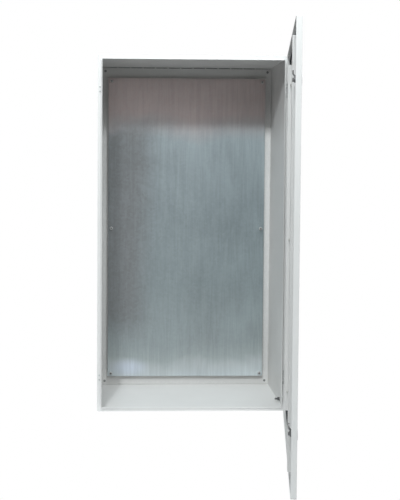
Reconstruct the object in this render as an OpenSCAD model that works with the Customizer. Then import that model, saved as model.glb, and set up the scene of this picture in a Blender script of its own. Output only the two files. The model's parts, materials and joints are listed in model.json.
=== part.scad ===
// Steel wall enclosure with a side-hung door, mounting plate and two quarter-turn locks.
// Millimetres. The origin is the centre of the rear face, +Y points into the wall, +Z is up.
// The door is drawn open at door_open; its closed place is at the hinge angle -door_open.

/* [Enclosure] */

// Width of the body over the side walls
width = 600; // [560:10:700]
// Height of the body over the top and bottom walls
height = 1125; // [1075:25:1250]
// Depth of the body from the wall face to the front flange
depth = 270; // [200:5:350]
// Thickness of the body sheet
sheet = 1.5; // [1.2:0.1:1.8]
// Outside radius of the folded corners seen from the front
corner_r = 3; // [2:0.5:5]
// Width of the front flange that is folded inward
front_flange = 14; // [14:0.5:16]
// Height of the rain lip that is folded forward from the flange
lip_height = 8; // [6:0.5:9]
// Width of the rear flange that carries the back panel
rear_flange = 26; // [24:1:32]

/* [Back panel] */

// Thickness of the back panel
back_t = 1.5; // [1.2:0.1:2]
// Gap between the back panel edge and the walls
back_gap = 3; // [2:0.5:4]
// Wanted distance between two welding tabs of the back panel
tab_pitch = 44; // [36:2:60]
// Width of one welding tab
tab_width = 3.5; // [2.5:0.5:6]
// Distance of the wall holes from the outer edges of the body
wall_hole_inset = 15; // [14:0.5:17]
// Diameter of the wall holes
wall_hole_d = 8.5; // [7:0.5:10]

/* [Mounting plate] */

// Distance of the plate from the sides of the body
plate_side_gap = 26; // [24:1:60]
// Distance of the plate from the top of the body
plate_top_gap = 41; // [30:1:90]
// Distance of the plate from the bottom of the body
plate_bottom_gap = 37; // [30:1:90]
// Thickness of the mounting plate
plate_t = 2; // [1.5:0.5:3]
// Corner radius of the mounting plate
plate_corner_r = 4; // [2:1:8]
// Depth of the folded long edges of the plate
plate_fold = 11; // [6:1:13]
// Length of the spacer sleeves behind the plate
spacer_length = 15; // [15:1:30]
// Outside diameter of the spacer sleeves
spacer_d = 12; // [11:0.5:14]
// Distance of the plate holes from the plate edges
plate_hole_inset = 11.5; // [10:0.5:14]
// Diameter of the plate studs
plate_stud_d = 6; // [5:0.5:8]
// Length of the plate studs
plate_stud_length = 27; // [27:1:34]
// Width across the flats of the plate nuts
plate_nut_af = 10; // [10:0.5:14]
// Height of the plate nuts
plate_nut_h = 5; // [4:0.5:7]
// Outside diameter of the plate washers
plate_washer_d = 12; // [12:0.5:17]
// Thickness of the plate washers
plate_washer_t = 1.6; // [1:0.2:2]

/* [Door] */

// Angle at which the door stands open
door_open = 79; // [10:0.5:110]
// Thickness of the door sheet
door_sheet = 1.5; // [1.2:0.1:1.8]
// Depth of the folded door edges over the outer face
door_return = 14.3; // [14.3:0.1:16]
// Gap between the closed door edge and the front flange
door_gap = 1.2; // [1.2:0.1:1.6]
// Width of the foam gasket
gasket_width = 9; // [7:0.5:9]
// Free height between the closed gasket and the rain lip
gasket_gap = 0.3; // [0.3:0.05:0.6]

/* [Door rails] */

// Width of each door rail
rail_width = 25; // [20:1:32]
// Height of the latch side rail over the inner face of the door
rail_height_latch = 17.5; // [10:0.5:22]
// Height of the hinge side rail over the inner face of the door
rail_height_hinge = 13.5; // [10:0.5:22]
// Thickness of the rail sheet
rail_sheet = 1.5; // [1:0.1:2]
// Distance of the latch side rail ends from the ends of the door
rail_end_latch = 33; // [22:1:90]
// Distance of the hinge side rail ends from the ends of the door
rail_end_hinge = 46; // [22:1:90]
// Distance of the latch side rail from the free edge of the door
rail_inset_latch = 74; // [66:1:110]
// Distance of the hinge side rail from the hinge edge of the door
rail_inset_hinge = 100; // [60:1:130]
// Diameter of the rail perforation
rail_hole_d = 4.5; // [3.5:0.5:7]
// Wanted distance between two rail holes
rail_hole_pitch = 25; // [20:1:40]
// Length of one rail foot
foot_length = 22; // [18:1:30]
// Reach of one rail foot beside the rail
foot_reach = 14; // [13:1:16]
// Distance of the end feet from the rail ends
foot_end = 60; // [20:5:200]
// Diameter of the rail studs
rail_stud_d = 5; // [4:0.5:5]
// Width across the flats of the rail nuts
rail_nut_af = 8; // [7:0.5:8.5]
// Height of the rail nuts
rail_nut_h = 4; // [3:0.5:5]
// Length of the rail studs over the nuts
rail_stud_proud = 2; // [1:0.5:4]

/* [Hinges] */

// Distance of the hinge centres from the top and bottom of the body
hinge_inset = 108; // [90:1:140]
// Distance of the hinge axis from the side face of the body
pivot_in = 3; // [2.8:0.1:3.2]
// Distance of the hinge axis in front of the flange
pivot_out = 6.6; // [6.5:0.1:6.9]
// Diameter of the hinge pin
pin_d = 4; // [3:0.5:4]
// Diameter of the heads of the hinge pin
pin_head_d = 5.6; // [4.6:0.2:6.2]
// Height of the heads of the hinge pin
pin_head_h = 1; // [0.6:0.1:1.1]
// Axial gap between a pin head and the outer knuckle
pin_play = 0.5; // [0.4:0.1:0.5]
// Outside diameter of the hinge knuckles
knuckle_d = 6.6; // [6:0.2:7]
// Length of the middle knuckle on the body
knuckle_middle = 16; // [12:1:20]
// Length of each outer knuckle on the door
knuckle_outer = 12; // [8:1:14]
// Axial gap between two knuckles
knuckle_gap = 0.4; // [0.3:0.1:0.8]
// Thickness of the hinge leaves
leaf_t = 2; // [1.5:0.1:2.2]
// Length of the body leaf
leaf_length = 44; // [42:1:56]
// Gap between the body leaf and the ends of the notch in the door edge
notch_gap = 3; // [2.5:0.5:6]
// Distance of the hinge studs from the side face of the body
hinge_stud_inset = 6.9; // [6.5:0.1:7.2]
// Distance between the two studs of a hinge
hinge_stud_pitch = 14; // [12:1:20]
// Diameter of the hinge studs
hinge_stud_d = 4; // [3:0.5:4]
// Width across the flats of the hinge nuts
hinge_nut_af = 7; // [6:0.5:7]
// Height of the hinge nuts
hinge_nut_h = 3.2; // [2:0.2:4]
// Length of the hinge studs over the nuts
hinge_stud_proud = 1.2; // [0.6:0.2:2]
// Diameter of the plugs in the spare hinge holes
plug_head_d = 5.6; // [5.4:0.2:8]
// Height of the plugs in the spare hinge holes
plug_head_h = 0.9; // [0.5:0.1:1.1]

/* [Locks] */

// Distance of the locks from the top and bottom of the door
lock_inset = 145; // [145:1:200]
// Distance of the lock axis from the free edge of the door
lock_edge = 29; // [29:0.5:33]
// Diameter of the threaded lock barrel
barrel_d = 18; // [16:0.5:19]
// Diameter of the lock collar on the outer face
collar_d = 28; // [24:1:34]
// Thickness of the lock collar
collar_t = 1.5; // [1.5:0.5:5]
// Width across the flats of the lock nut
lock_nut_af = 22; // [21:0.5:22.5]
// Height of the lock nut
lock_nut_h = 4; // [3:0.5:6]
// Diameter of the turning insert
insert_d = 12; // [11:0.5:13]
// Diameter of the key recess in the insert
key_d = 9; // [7:0.5:9.5]
// Depth of the key recess
key_depth = 7; // [5:0.5:8]
// Diameter of the key spigot in the recess
key_pin_d = 3; // [2:0.5:4]
// Width of the two key bits beside the spigot
key_bit = 2; // [1.5:0.5:2.5]
// Width of the square that drives the cam
square_drive = 8; // [6:0.5:8]
// Reach of the cam from the lock axis
cam_reach = 24; // [20:0.5:25]
// Width of the cam
cam_width = 14; // [13:0.5:16]
// Height of the crank between the hub and the tip of the cam
cam_crank = 4.5; // [2:0.5:5]
// Distance from the lock axis at which the crank ends
cam_crank_end = 13.5; // [12:0.5:14]
// Run of the crank along the cam
cam_crank_run = 5; // [3:0.5:5.5]
// Thickness of the cam
cam_t = 3; // [2:0.5:4]
// Free height between the turned cam and the flange
cam_gap = 0.5; // [0.4:0.1:1]
// Free height between the lock barrel and the cam
barrel_gap = 0.6; // [0.4:0.1:1]
// Depth of the insert face under the collar face
insert_sink = 0.5; // [0.2:0.1:1]
// Diameter of the cam screw
cam_screw_d = 5; // [4:0.5:5]
// Width across the flats of the cam screw head
cam_screw_af = 8; // [7:0.5:10]
// Height of the cam screw head
cam_screw_h = 3.5; // [2.5:0.5:5]
// Diameter of the cam washer
cam_washer_d = 12; // [11:0.5:13.5]
// Thickness of the cam washer
cam_washer_t = 1.2; // [0.8:0.2:2]

/* [Earthing] */

// Diameter of the earthing studs
earth_d = 6; // [4:0.5:6]
// Length of the earthing studs
earth_length = 16; // [14:1:25]
// Width across the flats of the earthing nuts
earth_nut_af = 10; // [8:0.5:11]
// Height of the earthing nuts
earth_nut_h = 5; // [4:0.5:6]
// Diameter of the earthing washers
earth_washer_d = 12; // [11:0.5:14]
// Thickness of the earthing washers
earth_washer_t = 1.4; // [1:0.2:2]
// Distance of the body stud behind the front flange
earth_back = 78; // [40:1:120]
// Height of the body stud over the floor
earth_raise = 11; // [9:1:40]
// Distance of the door stud from the hinge edge of the door
earth_door_inset = 46; // [38:1:70]
// Height of the door stud over the bottom of the door
earth_door_raise = 60; // [40:1:120]

/* [Clearances] */

// Radial clearance of a turning fit
running = 0.05; // [0.02:0.01:0.1]
// Radial clearance between a nut and its thread
thread_gap = 0.05; // [0.03:0.01:0.1]
// Radial clearance of a bolt in a punched hole
hole_gap = 0.25; // [0.15:0.05:0.5]
// Gap beside the body leaf of a hinge
leaf_gap = 0.8; // [0.5:0.1:1.2]

/* [Hidden] */

// Segments of every round edge
$fn = 48;
// Corners of a hexagon
hex = 6;
// Half of the width and height of the body
half_w = width / 2;
half_h = height / 2;
// Front flange plane
front = -depth;
// Front face of the back panel
back_face = -sheet - back_t;
// Closed outer face, inner face and edge of the door
door_outer = front - door_gap - door_return;
door_inner = door_outer + door_sheet;
door_edge = front - door_gap;
// Hinge axis
pivot_x = half_w - pivot_in;
pivot_y = front - pivot_out;
hinge_z = half_h - hinge_inset;
// Plane on which the plate rests and its front face
plate_back = back_face - spacer_length;
plate_face = plate_back - plate_t;
plate_width = width - 2 * plate_side_gap;
plate_height = height - plate_top_gap - plate_bottom_gap;
plate_raise = (plate_bottom_gap - plate_top_gap) / 2;
plate_x = plate_width / 2 - plate_hole_inset;
plate_z = plate_height / 2 - plate_hole_inset;
// Lip band, measured inward from the outer edge of the body
lip_outer = front_flange - sheet;
gasket_outer = front_flange - sheet / 2 - gasket_width / 2;
gasket_height = front - lip_height - gasket_gap - door_inner;
// Door leaf of the hinge, beside the gasket
door_leaf_x = half_w - gasket_outer + gasket_gap;
door_leaf_end = half_w - door_sheet;
knuckle_total = knuckle_middle + 2 * (knuckle_outer + knuckle_gap);
notch_length = leaf_length + 2 * notch_gap;
notch_depth = door_return - door_sheet;
// Hinge parts
knuckle_r = knuckle_d / 2;
pin_length = knuckle_total + 2 * pin_play;
leaf_in = half_w - lip_outer + leaf_gap;
leaf_out = half_w - leaf_gap;
hinge_stud_x = half_w - hinge_stud_inset;
hinge_stud_length = sheet + hinge_nut_h + hinge_stud_proud;
// Rails
rail_latch_x = -half_w + rail_inset_latch + rail_width / 2;
rail_hinge_x = half_w - rail_inset_hinge - rail_width / 2;
foot_x = rail_width / 2 + foot_reach / 2;
rail_length_latch = height - 2 * rail_end_latch;
rail_length_hinge = height - 2 * rail_end_hinge;
rail_stud_length = rail_sheet + rail_nut_h + rail_stud_proud;
// Locks
lock_x = -half_w + lock_edge;
lock_z = half_h - lock_inset;
cam_tip = front + sheet + cam_gap;
cam_face = cam_tip - cam_crank;
barrel_end = cam_face - barrel_gap;
insert_front = door_outer - collar_t + insert_sink;
cam_back = cam_face + cam_t;
drive_short = 0.3;
screw_reach = 7;
// Earthing
earth_y = front + earth_back;
earth_z = -half_h + sheet + earth_raise;
earth_door_x = half_w - earth_door_inset;
earth_door_z = -half_h + earth_door_raise;
// Cuts pass this far through a face
over = 1;
// Keeps a count from dropping when a pattern just fits
count_slack = 0.001;
// Colours
paint = [0.82, 0.83, 0.82];
zinc = [0.62, 0.64, 0.66];
steel = [0.72, 0.72, 0.70];
black = [0.08, 0.08, 0.08];
foam = [0.16, 0.16, 0.17];

// A rectangle with round corners, inset from the body outline
module outline(inset, radius) {
    w = width - 2 * inset;
    h = height - 2 * inset;
    rounded(w, h, radius);
}

// A centred rectangle with round corners
module rounded(w, h, radius) {
    square([w - 2 * radius, h], center = true);
    square([w, h - 2 * radius], center = true);
    for (x = [-1, 1], z = [-1, 1])
        translate([x * (w / 2 - radius), z * (h / 2 - radius)])
            circle(r = radius);
}

// A flat band between two insets of the body outline
module band(from, to, radius) {
    difference() {
        outline(from, radius);
        outline(to, max(radius - to + from, 0.5));
    }
}

// Extrudes a front view outline from y toward the front
module toward_front(y, length) {
    translate([0, y, 0])
        rotate([90, 0, 0])
            linear_extrude(height = length)
                children();
}

// A round rod that starts at y and runs toward the front
module rod(x, y, z, d, length) {
    translate([x, y, z])
        rotate([90, 0, 0])
            cylinder(d = d, h = length);
}

// A hexagonal prism that starts at y and runs toward the front, flats to the sides
module hex_rod(x, y, z, af, length) {
    translate([x, y, z])
        rotate([90, 30, 0])
            cylinder(d = af / cos(30), h = length, $fn = hex);
}

// Turns the closed door about the hinge axis to its open place
module opened() {
    translate([pivot_x, pivot_y, 0])
        rotate([0, 0, door_open])
            translate([-pivot_x, -pivot_y, 0])
                children();
}

// The four wall holes
module wall_holes() {
    for (x = [-1, 1], z = [-1, 1])
        rod(x * (half_w - wall_hole_inset), over, z * (half_h - wall_hole_inset), wall_hole_d,
            sheet + back_t + 2 * over);
}

// Holes for the hinge studs in both front flanges
module hinge_holes() {
    for (x = [-1, 1], z = [-1, 1], s = [-1, 1])
        rod(x * hinge_stud_x, front + sheet + over, z * hinge_z + s * hinge_stud_pitch / 2,
            hinge_stud_d + 2 * hole_gap, sheet + 2 * over);
}

// The six places of the mounting plate fixings
module at_plate_fixings() {
    for (x = [-1, 1], z = [-1, 0, 1])
        translate([x * plate_x, 0, z * plate_z + plate_raise])
            children();
}

// Body shell folded from one sheet
module body_wrap() {
    color(paint)
        difference() {
            union() {
                toward_front(0, depth)
                    band(0, sheet, corner_r);
                toward_front(0, sheet)
                    band(0, rear_flange, corner_r);
                toward_front(front + sheet, sheet)
                    band(0, front_flange, corner_r);
                toward_front(front, lip_height)
                    band(lip_outer, front_flange, corner_r);
            }
            wall_holes();
            hinge_holes();
        }
}

// Back panel with its welding tabs
module back_panel() {
    count_x = floor((width - 2 * tab_pitch) / tab_pitch + count_slack);
    count_z = floor((height - 2 * tab_pitch) / tab_pitch + count_slack);
    color(paint)
        difference() {
            toward_front(-sheet, back_t)
                union() {
                    outline(sheet + back_gap, corner_r);
                    for (i = [0 : count_x])
                        translate([(i - count_x / 2) * tab_pitch, 0])
                            square([tab_width, height - 2 * sheet], center = true);
                    for (i = [0 : count_z])
                        translate([0, (i - count_z / 2) * tab_pitch])
                            square([width - 2 * sheet, tab_width], center = true);
                }
            wall_holes();
        }
}

// Weld studs that carry the mounting plate
module plate_studs() {
    color(steel)
        at_plate_fixings()
            rod(0, back_face, 0, plate_stud_d, plate_stud_length);
}

// Spacer sleeves behind the mounting plate
module plate_spacers() {
    color(steel)
        at_plate_fixings()
            difference() {
                rod(0, back_face, 0, spacer_d, spacer_length);
                rod(0, back_face + over, 0, plate_stud_d + 2 * thread_gap, spacer_length + 2 * over);
            }
}

// Mounting plate with folded long edges
module mounting_plate() {
    fold_x = plate_width / 2 - plate_t / 2;
    color(zinc)
        difference() {
            union() {
                translate([0, 0, plate_raise])
                    toward_front(plate_back, plate_t)
                        rounded(plate_width, plate_height, plate_corner_r);
                for (x = [-1, 1])
                    translate([x * fold_x, 0, plate_raise])
                        toward_front(plate_back + plate_fold, plate_fold)
                            square([plate_t, plate_height - 2 * plate_corner_r], center = true);
            }
            at_plate_fixings()
                rod(0, plate_back + over, 0, plate_stud_d + 2 * hole_gap, plate_t + 2 * over);
        }
}

// Washers on the mounting plate
module plate_washers() {
    color(steel)
        at_plate_fixings()
            difference() {
                rod(0, plate_face, 0, plate_washer_d, plate_washer_t);
                rod(0, plate_face + over, 0, plate_stud_d + 2 * hole_gap, plate_washer_t + 2 * over);
            }
}

// Nuts on the mounting plate
module plate_nuts() {
    color(steel)
        at_plate_fixings()
            difference() {
                hex_rod(0, plate_face - plate_washer_t, 0, plate_nut_af, plate_nut_h);
                rod(0, plate_face, 0, plate_stud_d + 2 * thread_gap, plate_nut_h + plate_washer_t + over);
            }
}

// Hinge leaf with studs and the middle knuckle, on the front flange
module hinge_leaf_body(z) {
    color(zinc)
        translate([0, 0, z])
            difference() {
                union() {
                    translate([leaf_in, front - leaf_t, -leaf_length / 2])
                        cube([leaf_out - leaf_in, leaf_t, leaf_length]);
                    for (s = [-1, 1])
                        rod(hinge_stud_x, front + hinge_stud_length, s * hinge_stud_pitch / 2, hinge_stud_d,
                            hinge_stud_length + leaf_t / 2);
                    translate([pivot_x - knuckle_r, pivot_y, -knuckle_middle / 2])
                        cube([leaf_out - pivot_x + knuckle_r, front - pivot_y - leaf_t / 2, knuckle_middle]);
                    translate([pivot_x, pivot_y, -knuckle_middle / 2])
                        cylinder(d = knuckle_d, h = knuckle_middle);
                }
                translate([pivot_x, pivot_y, -knuckle_middle / 2 - over])
                    cylinder(d = pin_d, h = knuckle_middle + 2 * over);
            }
}

module hinge_leaf_body_upper() {
    hinge_leaf_body(hinge_z);
}

module hinge_leaf_body_lower() {
    hinge_leaf_body(-hinge_z);
}

// Nuts of the hinge studs behind the flange
module hinge_nuts() {
    color(steel)
        for (z = [-1, 1], s = [-1, 1])
            translate([hinge_stud_x, 0, z * hinge_z + s * hinge_stud_pitch / 2])
                difference() {
                    hex_rod(0, front + sheet + hinge_nut_h, 0, hinge_nut_af, hinge_nut_h);
                    rod(0, front + sheet + hinge_nut_h + over, 0, hinge_stud_d + 2 * thread_gap,
                        hinge_nut_h + 2 * over);
                }
}

// Hinge pin with a head at both ends
module hinge_pin(z) {
    color(steel)
        translate([pivot_x, pivot_y, z]) {
            cylinder(d = pin_d, h = pin_length, center = true);
            for (s = [-1, 1])
                translate([0, 0, s * (pin_length + pin_head_h) / 2])
                    cylinder(d = pin_head_d, h = pin_head_h, center = true);
        }
}

module hinge_pin_upper() {
    hinge_pin(hinge_z);
}

module hinge_pin_lower() {
    hinge_pin(-hinge_z);
}

// Plugs in the unused hinge holes of the other flange
module spare_hole_plugs() {
    color(black)
        for (z = [-1, 1], s = [-1, 1])
            translate([-hinge_stud_x, 0, z * hinge_z + s * hinge_stud_pitch / 2]) {
                rod(0, front, 0, plug_head_d, plug_head_h);
                rod(0, front + sheet + over, 0, hinge_stud_d, sheet + over);
            }
}

// A rod, washer or nut of the earthing point on the right wall
module on_right_wall() {
    translate([half_w - sheet, earth_y, earth_z])
        rotate([0, 0, -90])
            children();
}

module earth_stud_body() {
    color(steel)
        on_right_wall()
            rod(0, 0, 0, earth_d, earth_length);
}

module earth_washer(y) {
    difference() {
        rod(0, y, 0, earth_washer_d, earth_washer_t);
        rod(0, y + over, 0, earth_d + 2 * hole_gap, earth_washer_t + 2 * over);
    }
}

module earth_nut(y) {
    difference() {
        hex_rod(0, y, 0, earth_nut_af, earth_nut_h);
        rod(0, y + over, 0, earth_d + 2 * thread_gap, earth_nut_h + 2 * over);
    }
}

module earth_washer_body() {
    color(steel)
        on_right_wall()
            earth_washer(0);
}

module earth_nut_body() {
    color(steel)
        on_right_wall()
            earth_nut(-earth_washer_t);
}

// Door tray folded from one sheet, notched at the hinges
module door_skin() {
    color(paint)
        opened()
            difference() {
                union() {
                    toward_front(door_inner, door_sheet)
                        outline(0, corner_r);
                    toward_front(door_edge, door_return)
                        band(0, door_sheet, corner_r);
                }
                for (z = [-1, 1])
                    translate([half_w - corner_r, door_inner, z * hinge_z - notch_length / 2])
                        cube([corner_r + over, notch_depth + over, notch_length]);
                for (z = [-1, 1])
                    rod(lock_x, door_inner + over, z * lock_z, barrel_d + 2 * hole_gap,
                        door_sheet + 2 * over);
            }
}

// Foam gasket that meets the rain lip
module door_gasket() {
    color(foam)
        opened()
            toward_front(door_inner + gasket_height, gasket_height)
                band(gasket_outer, gasket_outer + gasket_width, corner_r + gasket_width);
}

// Places of the rail feet and studs
module at_feet(x, length) {
    for (s = [-1, 1], z = [-1, 0, 1])
        translate([x + s * foot_x, 0, z * (length / 2 - foot_end)])
            children();
}

// Perforated door rail with feet
module door_rail(x, length, rise) {
    count = floor((length - rail_hole_pitch) / rail_hole_pitch + count_slack);
    color(zinc)
        opened()
            difference() {
                union() {
                    translate([x - rail_width / 2, door_inner + rise - rail_sheet, -length / 2])
                        cube([rail_width, rail_sheet, length]);
                    for (s = [-1, 1])
                        translate([x + s * (rail_width - rail_sheet) / 2 - rail_sheet / 2, door_inner,
                            -length / 2])
                            cube([rail_sheet, rise, length]);
                    at_feet(x, length)
                        translate([-foot_reach / 2, door_inner, -foot_length / 2])
                            cube([foot_reach, rail_sheet, foot_length]);
                }
                for (i = [0 : count])
                    rod(x, door_inner + rise + over, (i - count / 2) * rail_hole_pitch, rail_hole_d,
                        rail_sheet + 2 * over);
                at_feet(x, length)
                    rod(0, door_inner + rail_sheet + over, 0, rail_stud_d + 2 * hole_gap,
                        rail_sheet + 2 * over);
            }
}

module door_rail_latch() {
    door_rail(rail_latch_x, rail_length_latch, rail_height_latch);
}

module door_rail_hinge() {
    door_rail(rail_hinge_x, rail_length_hinge, rail_height_hinge);
}

// Weld studs on the door for the rails
module rail_studs() {
    color(steel)
        opened() {
            at_feet(rail_latch_x, rail_length_latch)
                rod(0, door_inner + rail_stud_length, 0, rail_stud_d, rail_stud_length);
            at_feet(rail_hinge_x, rail_length_hinge)
                rod(0, door_inner + rail_stud_length, 0, rail_stud_d, rail_stud_length);
        }
}

module rail_nut() {
    difference() {
        hex_rod(0, door_inner + rail_sheet + rail_nut_h, 0, rail_nut_af, rail_nut_h);
        rod(0, door_inner + rail_sheet + rail_nut_h + over, 0, rail_stud_d + 2 * thread_gap,
            rail_nut_h + 2 * over);
    }
}

// Nuts that hold the rails
module rail_nuts() {
    color(steel)
        opened() {
            at_feet(rail_latch_x, rail_length_latch)
                rail_nut();
            at_feet(rail_hinge_x, rail_length_hinge)
                rail_nut();
        }
}

// Hinge leaf with the two outer knuckles, welded inside the door edge
module hinge_leaf_door(z) {
    color(zinc)
        opened()
            translate([0, 0, z])
                difference() {
                    union() {
                        translate([door_leaf_x, door_inner, -knuckle_total / 2])
                            cube([door_leaf_end - door_leaf_x, leaf_t, knuckle_total]);
                        for (s = [-1, 1])
                            translate([0, 0, s * (knuckle_total - knuckle_outer) / 2]) {
                                translate([pivot_x - knuckle_r, door_inner, -knuckle_outer / 2])
                                    cube([door_leaf_end - pivot_x + knuckle_r, pivot_y - door_inner,
                                        knuckle_outer]);
                                translate([pivot_x, pivot_y, -knuckle_outer / 2])
                                    cylinder(d = knuckle_d, h = knuckle_outer);
                            }
                    }
                    translate([pivot_x, pivot_y, -knuckle_total / 2 - over])
                        cylinder(d = pin_d + 2 * running, h = knuckle_total + 2 * over);
                }
}

module hinge_leaf_door_upper() {
    hinge_leaf_door(hinge_z);
}

module hinge_leaf_door_lower() {
    hinge_leaf_door(-hinge_z);
}

// Earthing point on the door
module on_door() {
    opened()
        translate([earth_door_x, door_inner, earth_door_z])
            rotate([0, 0, 180])
                children();
}

module earth_stud_door() {
    color(steel)
        on_door()
            rod(0, 0, 0, earth_d, earth_length);
}

module earth_washer_door() {
    color(steel)
        on_door()
            earth_washer(0);
}

module earth_nut_door() {
    color(steel)
        on_door()
            earth_nut(-earth_washer_t);
}

// Lock housing with collar and threaded barrel
module lock_housing(z) {
    color(steel)
        opened()
            difference() {
                union() {
                    rod(lock_x, door_outer, z, collar_d, collar_t);
                    rod(lock_x, barrel_end, z, barrel_d, barrel_end - door_outer + collar_t / 2);
                }
                rod(lock_x, barrel_end + over, z, insert_d + 2 * running,
                    barrel_end - door_outer + collar_t + 2 * over);
            }
}

module lock_housing_upper() {
    lock_housing(lock_z);
}

module lock_housing_lower() {
    lock_housing(-lock_z);
}

// Nut that clamps the lock housing
module lock_nut(z) {
    color(zinc)
        opened()
            difference() {
                hex_rod(lock_x, door_inner + lock_nut_h, z, lock_nut_af, lock_nut_h);
                rod(lock_x, door_inner + lock_nut_h + over, z, barrel_d + 2 * thread_gap,
                    lock_nut_h + 2 * over);
            }
}

module lock_nut_upper() {
    lock_nut(lock_z);
}

module lock_nut_lower() {
    lock_nut(-lock_z);
}

// Turning insert with key recess and square drive
module lock_insert(z) {
    length = cam_face - insert_front;
    color(black)
        opened()
            difference() {
                union() {
                    rod(lock_x, cam_face, z, insert_d, length);
                    translate([lock_x - square_drive / 2, cam_face - over, z - square_drive / 2])
                        cube([square_drive, cam_t - drive_short + over, square_drive]);
                }
                difference() {
                    rod(lock_x, insert_front + key_depth, z, key_d, key_depth + over);
                    rod(lock_x, insert_front + key_depth + over, z, key_pin_d, key_depth + over);
                    for (s = [-1, 1])
                        translate([lock_x + s * key_d / 2 - key_bit / 2, insert_front,
                            z - key_bit / 2])
                            cube([key_bit, key_depth + over, key_bit]);
                }
                rod(lock_x, cam_back + over, z, cam_screw_d, screw_reach + over);
            }
}

module lock_insert_upper() {
    lock_insert(lock_z);
}

module lock_insert_lower() {
    lock_insert(-lock_z);
}

// Outline of the cam seen along the lock axis, pointing up
module cam_outline() {
    shoulder = cam_reach - cam_width / 4;
    circle(d = cam_width);
    translate([-cam_width / 2, 0])
        square([cam_width, shoulder]);
    translate([-cam_width / 4, 0])
        square([cam_width / 2, cam_reach]);
    for (s = [-1, 1])
        translate([s * cam_width / 4, shoulder])
            circle(d = cam_width / 2);
}

// Side profile of the cranked cam: y along the axis, z along the cam
module cam_profile() {
    bend = cam_crank_end - cam_crank_run;
    polygon([
        [cam_face, -cam_width], [cam_face, bend], [cam_tip, cam_crank_end], [cam_tip, cam_reach + over],
        [cam_tip + cam_t, cam_reach + over], [cam_tip + cam_t, cam_crank_end], [cam_back, bend],
        [cam_back, -cam_width]
    ]);
}

// Cranked cam, pointing up when it is free
module lock_cam(z) {
    color(steel)
        opened()
            translate([lock_x, 0, z])
                difference() {
                    intersection() {
                        toward_front(cam_tip + cam_t + over, cam_t + cam_crank + 2 * over)
                            cam_outline();
                        translate([-cam_width, 0, 0])
                            rotate([90, 0, 90])
                                linear_extrude(height = 2 * cam_width)
                                    cam_profile();
                    }
                    translate([-square_drive / 2 - running, cam_face - over, -square_drive / 2 - running])
                        cube([square_drive + 2 * running, cam_t + 2 * over, square_drive + 2 * running]);
                }
}

module lock_cam_upper() {
    lock_cam(lock_z);
}

module lock_cam_lower() {
    lock_cam(-lock_z);
}

// Washer between the cam and its screw
module cam_washer(z) {
    color(steel)
        opened()
            difference() {
                rod(lock_x, cam_back + cam_washer_t, z, cam_washer_d, cam_washer_t);
                rod(lock_x, cam_back + cam_washer_t + over, z, cam_screw_d + 2 * hole_gap,
                    cam_washer_t + 2 * over);
            }
}

module cam_washer_upper() {
    cam_washer(lock_z);
}

module cam_washer_lower() {
    cam_washer(-lock_z);
}

// Screw that holds the cam on the insert
module cam_screw(z) {
    seat = cam_back + cam_washer_t;
    color(zinc)
        opened() {
            hex_rod(lock_x, seat + cam_screw_h, z, cam_screw_af, cam_screw_h);
            rod(lock_x, seat + over / 2, z, cam_screw_d - 2 * thread_gap, screw_reach);
        }
}

module cam_screw_upper() {
    cam_screw(lock_z);
}

module cam_screw_lower() {
    cam_screw(-lock_z);
}

body_wrap();
back_panel();
plate_studs();
plate_spacers();
mounting_plate();
plate_washers();
plate_nuts();
hinge_leaf_body_upper();
hinge_leaf_body_lower();
hinge_nuts();
hinge_pin_upper();
hinge_pin_lower();
spare_hole_plugs();
earth_stud_body();
earth_washer_body();
earth_nut_body();
door_skin();
door_gasket();
door_rail_latch();
door_rail_hinge();
rail_studs();
rail_nuts();
hinge_leaf_door_upper();
hinge_leaf_door_lower();
earth_stud_door();
earth_washer_door();
earth_nut_door();
lock_housing_upper();
lock_housing_lower();
lock_nut_upper();
lock_nut_lower();
lock_insert_upper();
lock_insert_lower();
lock_cam_upper();
lock_cam_lower();
cam_washer_upper();
cam_washer_lower();
cam_screw_upper();
cam_screw_lower();
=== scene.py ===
import json
import math

import bmesh
import bpy
from mathutils import Matrix, Vector, noise


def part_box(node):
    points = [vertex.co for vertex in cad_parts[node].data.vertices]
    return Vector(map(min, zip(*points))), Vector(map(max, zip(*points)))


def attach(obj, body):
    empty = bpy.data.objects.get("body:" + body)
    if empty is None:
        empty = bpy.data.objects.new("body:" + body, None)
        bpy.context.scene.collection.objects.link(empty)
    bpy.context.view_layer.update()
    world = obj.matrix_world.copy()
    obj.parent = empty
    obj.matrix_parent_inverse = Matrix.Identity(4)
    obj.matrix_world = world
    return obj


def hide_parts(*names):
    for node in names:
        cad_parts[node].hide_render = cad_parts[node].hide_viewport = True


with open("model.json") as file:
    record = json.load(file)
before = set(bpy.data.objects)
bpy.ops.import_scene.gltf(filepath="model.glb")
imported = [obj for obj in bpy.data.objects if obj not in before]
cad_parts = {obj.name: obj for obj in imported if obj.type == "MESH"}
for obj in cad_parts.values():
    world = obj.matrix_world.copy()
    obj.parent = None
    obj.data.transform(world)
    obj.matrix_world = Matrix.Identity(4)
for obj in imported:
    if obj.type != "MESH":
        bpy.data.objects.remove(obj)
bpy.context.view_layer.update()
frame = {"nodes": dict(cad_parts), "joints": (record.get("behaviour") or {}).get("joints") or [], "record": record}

bl_info = {
    "name": "Steel wall enclosure",
    "version": (1, 0, 0),
    "blender": (4, 5, 0),
    "location": "3D View > Sidebar > Enclosure",
    "description": "Folds, welds, threads and finishes for the solids of a steel wall enclosure",
    "category": "Object",
}

MM = 0.001
NODES = frame["nodes"]
JOINTS = {joint["name"]: joint for joint in frame["joints"]}
BODY_OF = {
    node: body
    for body, members in frame["record"]["behaviour"]["bodies"].items()
    for node in members
}
SLOT_OF = {part["node"]: part["material_slot"] for part in frame["record"]["subparts"]}
FORWARD = Vector((0.0, -1.0, 0.0))
# The locks turn about the line that points straight out of the front of the door.
DOOR_OUTWARD = Vector(JOINTS["lock_upper_turn"]["axis"]).normalized()


# ---------------------------------------------------------------- fixed sizes and places


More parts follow.
